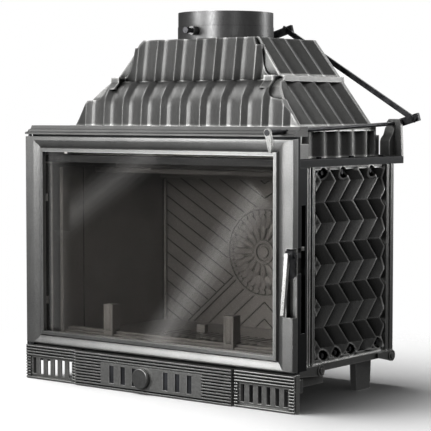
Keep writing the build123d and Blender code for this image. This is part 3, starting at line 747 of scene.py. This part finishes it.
def makeDoorRope(rope):
    rings = rope["lays"] * rope["stepsPerLay"]
    sides = rope["strandSides"]
    deep = Vector((0, 1, 0))
    vertices, faces = [], []
    for strand in range(rope["strands"]):
        first = len(vertices)
        for i in range(rings):
            at, ahead = ropeLine(rope, i / rings)
            across = Vector((ahead.y, 0, -ahead.x))  # in the door's plane, square to the run
            lay = 2 * math.pi * (rope["lays"] * i / rings + strand / rope["strands"])
            centre = Vector((at.x, rope["depth"], at.y))
            centre += (across * math.cos(lay) + deep * math.sin(lay)) * rope["layRadius"]
            for k in range(sides):
                angle = 2 * math.pi / sides * k
                rim = (across * math.cos(angle) + deep * math.sin(angle)) * rope["strandRadius"]
                vertices.append(place(*(centre + rim)))
        for i in range(rings):
            for k in range(sides):
                a, b = first + sides * i + k, first + sides * i + (k + 1) % sides
                step = sides if i < rings - 1 else sides - sides * rings  # the last joins the first
                faces.append((a, b, b + step, a + step))
    piece = meshPiece("door_rope_strands", vertices, faces, "glass_fibre_rope", "door")
    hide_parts("door_rope")


makeDoorRope(doorRope)
print("door rope laid")

# The back plate's rosette: rows of veined leaves on the plain disc

rosetteLeaves = {
    "centreHeight": 262.0,  # mm
    "face": 384.2,  # mm behind the door's face, where the disc's own face is
    "rows": [  # count, inner and outer radius, half width, rise
        (16, 28.0, 60.0, 6.2, 2.2),
        (16, 52.0, 84.0, 8.6, 2.6),
    ],
    "vein": 0.45,  # how deep the middle vein is, as a share of the rise
    "veinWidth": 0.22,  # as a share of the half width
    "tipWidth": 0.04,  # as a share of the half width
    "fullness": 0.7,  # a smaller power makes a broader leaf
    "tipRise": 0.35,  # as a share of the rise
    "lengthSteps": 9,
    "widthSteps": 8,
}


def makeRosette(leaves):
    vertices, faces = [], []
    lengthSteps, widthSteps = leaves["lengthSteps"], leaves["widthSteps"]
    for row, (count, inner, outer, halfWidth, rise) in enumerate(leaves["rows"]):
        for i in range(count):
            turn = 2 * math.pi * (i + 0.5 * row) / count
            ahead = (math.cos(turn), math.sin(turn))
            first = len(vertices)
            for a in range(lengthSteps + 1):
                share = a / lengthSteps
                bulge = math.sin(math.pi * share)
                wide = halfWidth * max(leaves["tipWidth"], bulge ** leaves["fullness"])
                out = inner + share * (outer - inner)
                for b in range(widthSteps + 1):
                    side = 2 * b / widthSteps - 1
                    dome = (1 - side**4) * (leaves["tipRise"] + (1 - leaves["tipRise"]) * bulge)
                    vein = 1 - leaves["vein"] * math.exp(-((side / leaves["veinWidth"]) ** 2))
                    x = out * ahead[0] - side * wide * ahead[1]
                    z = out * ahead[1] + side * wide * ahead[0]
                    y = leaves["face"] - rise * dome * vein
                    vertices.append(place(x, y, leaves["centreHeight"] + z))
            for a in range(lengthSteps):
                for b in range(widthSteps):
                    corner = first + a * (widthSteps + 1) + b
                    faces.append((corner, corner + 1, corner + widthSteps + 2, corner + widthSteps + 1))
    meshPiece("rosette_leaves", vertices, faces, "lining_iron", "stove")


makeRosette(rosetteLeaves)
print("rosette leaves set")

# Floor, light and air

studio = {
    "floorColour": "#f4f4f4",
    "floorRadius": 2600.0,  # mm
    "floorSides": 96,
    "floorDrop": 0.2,  # mm under the feet, so that no two faces lie in one plane
    "fadeFrom": 450.0,  # mm from the middle, where the paper starts to melt into the backdrop
    "fadeTo": 1000.0,
    "backdrop": 1.0,  # how bright the air is where it is looked at
    "surround": 0.08,  # and as light on the stove
    "middle": (0, 180, 330),  # mm, what the lamps stand round and face
    "lamps": {
        # name: (degrees round from the front, degrees up, mm away, width, height, watts)
        "leftHigh": (-72, 45, 2300, 1000, 1000, 9),
        "front": (-12, 24, 2300, 1000, 900, 7),
        "collarGlow": (4, 15, 2300, 400, 400, 17),
        "stileGlow": (-33, 15, 2300, 600, 760, 15),
        "frontHigh": (-30, 45, 2300, 1200, 1000, 3),
        "rightHigh": (100, 55, 2300, 600, 600, 12),
        "backLeft": (-150, 45, 2300, 800, 800, 2),
        "back": (180, 30, 2300, 1400, 1000, 9),
        "backRight": (145, 12, 2300, 300, 800, 7),
        "right": (60, 5, 2300, 300, 600, 2),
    },
    "floorLamp": (-62, 68, 2600, 2200, 2200, 120),  # the same values, and it lights only the floor
    "bands": [
        # soft bands mirrored in the pane: the piece they show on, two ends of the middle line
        # (x and z on the pane), width, in how many strips, brightest strip's share of the
        # width, watts
        ("door_glass", (-270, 112), (-270, 500), 80, 5, 0.1, 0.12),
        ("door_glass", (-275, 322), (-5, 492), 80, 7, 0.5, 0.08),
        ("door_glass", (-6, 91), (262, 415), 85, 7, 0.5, 0.22),
        # and two beside the pane, for the sheen of the door's right stile and top
        ("door_frame", (322, 70), (322, 500), 60, 3, 0.5, 1.5),
        ("door_frame", (60, 540), (340, 540), 40, 1, 0.5, 0.8),
    ],
    "bandStand": -600.0,  # mm, how far in front of the door the strip lamps stand
    "pane": 13.0,  # mm, how far the glass lies behind the door's face
}


def makeFloor(values):
    mesh = bpy.data.meshes.new("floor")
    shape = bmesh.new()
    bmesh.ops.create_circle(
        shape,
        cap_ends=True,
        segments=values["floorSides"],
        radius=values["floorRadius"] * mm,
    )
    shape.to_mesh(mesh)
    shape.free()
    floor = bpy.data.objects.new("floor", mesh)
    bpy.context.scene.collection.objects.link(floor)
    floor.location.z = -values["floorDrop"] * mm
    material, tree, output = startMaterial("paper_white_matt")
    where = addNode(tree, "TexCoord").outputs["Object"]
    far = addNode(tree, "VectorMath", {0: where}, operation="LENGTH")
    fade = addNode(
        tree,
        "MapRange",
        {
            "Value": far.outputs["Value"],
            "From Min": values["fadeFrom"] * mm,
            "From Max": values["fadeTo"] * mm,
        },
        interpolation_type="SMOOTHSTEP",
    )
    paper = addNode(tree, "BsdfDiffuse", {"Color": hexToLinear(values["floorColour"])})
    clear = addNode(tree, "BsdfTransparent")
    shaders = {0: fade.outputs[0], 1: paper.outputs[0], 2: clear.outputs[0]}
    mix = addNode(tree, "MixShader", shaders)
    tree.links.new(mix.outputs[0], output.inputs["Surface"])
    mesh.materials.append(material)
    floor.visible_glossy = False
    floor.visible_diffuse = False  # the stove's undersides stay as dark as in the photograph
    return floor


def makeAir(values):
    world = bpy.data.worlds.new("studio")
    bpy.context.scene.world = world
    world.use_nodes = True
    tree = world.node_tree
    tree.nodes.clear()
    output = addNode(tree, "OutputWorld")
    rays = addNode(tree, "LightPath")
    dim = addNode(tree, "Background", {"Color": (1, 1, 1, 1), "Strength": values["surround"]})
    white = addNode(tree, "Background", {"Color": (1, 1, 1, 1), "Strength": values["backdrop"]})
    depths = {0: rays.outputs["Diffuse Depth"], 1: rays.outputs["Glossy Depth"]}
    bounces = addNode(tree, "Math", depths)
    # looked at with nothing between but the door's pane, so after less than one bounce
    seen = addNode(tree, "Math", {0: bounces.outputs[0], 1: 0.5}, operation="LESS_THAN")
    mix = addNode(tree, "MixShader", {0: seen.outputs[0], 1: dim.outputs[0], 2: white.outputs[0]})
    tree.links.new(mix.outputs[0], output.inputs["Surface"])


def hangLamp(name, spot, facing, width, height, watts):
    data = bpy.data.lights.new(name, "AREA")
    data.shape = "RECTANGLE"
    data.size, data.size_y = width * mm, height * mm
    data.energy = watts
    lamp = bpy.data.objects.new(name, data)
    bpy.context.scene.collection.objects.link(lamp)
    lamp.location = spot
    lamp.rotation_euler = facing
    lamp.visible_camera = False
    return lamp


def hangLamps(values, floor):
    middle = place(*values["middle"])
    onFloor = bpy.data.collections.new("lit_floor")
    onFloor.objects.link(floor)
    onStove = bpy.data.collections.new("lit_stove")
    for piece in bpy.data.objects:
        if piece.type == "MESH" and piece is not floor:
            onStove.objects.link(piece)
    for name, lamp in [*values["lamps"].items(), ("floorLamp", values["floorLamp"])]:
        turn, rise, away, width, height, watts = lamp
        turn, rise = math.radians(turn), math.radians(rise)
        flat = math.cos(rise)
        towards = Vector((math.sin(turn) * flat, -math.cos(turn) * flat, math.sin(rise)))
        spot = middle + towards * away * mm
        facing = (middle - spot).to_track_quat("-Z", "Y").to_euler()
        hung = hangLamp(name, spot, facing, width, height, watts)
        hung.light_linking.receiver_collection = onFloor if name == "floorLamp" else onStove


def hangBands(values, eye):
    # each band is a row of strip lamps that stand where the camera sees them in the pane
    pane, stand = values["pane"], values["bandStand"]
    # how far from a lamp to the eye's mirror image the pane is, as a share of the way
    share = (pane - stand) / (2 * pane - eye[1] - stand)
    for band, (shownOn, start, end, width, strips, peak, watts) in enumerate(values["bands"]):
        seen = bpy.data.collections.new(f"band{band}_shown_on")
        seen.objects.link(nodes[shownOn])
        start, end = Vector(start), Vector(end)
        along = (end - start).normalized()
        across = Vector((along.y, -along.x))
        middle = (start + end) / 2
        facing = (math.pi / 2, math.atan2(along.x, along.y), 0)
        stripWidth = width / strips / (1 - share)
        stripHeight = (end - start).length / (1 - share)
        for i in range(strips):
            at = (i + 0.5) / strips
            fade = at / peak if at < peak else (1 - at) / (1 - peak)
            line = middle + across * width * (at - 0.5)
            x = (line.x - share * eye[0]) / (1 - share)
            z = (line.y - share * eye[2]) / (1 - share)
            spot = place(x, stand, z)
            stripWatts = watts * fade / strips
            lamp = hangLamp(f"band{band}_{i}", spot, facing, stripWidth, stripHeight, stripWatts)
            lamp.light_linking.receiver_collection = seen


floor = makeFloor(studio)
makeAir(studio)
hangLamps(studio, floor)
hangBands(studio, cameraView["eye"])
bpy.context.scene.view_settings.view_transform = "Standard"
print("studio lit")
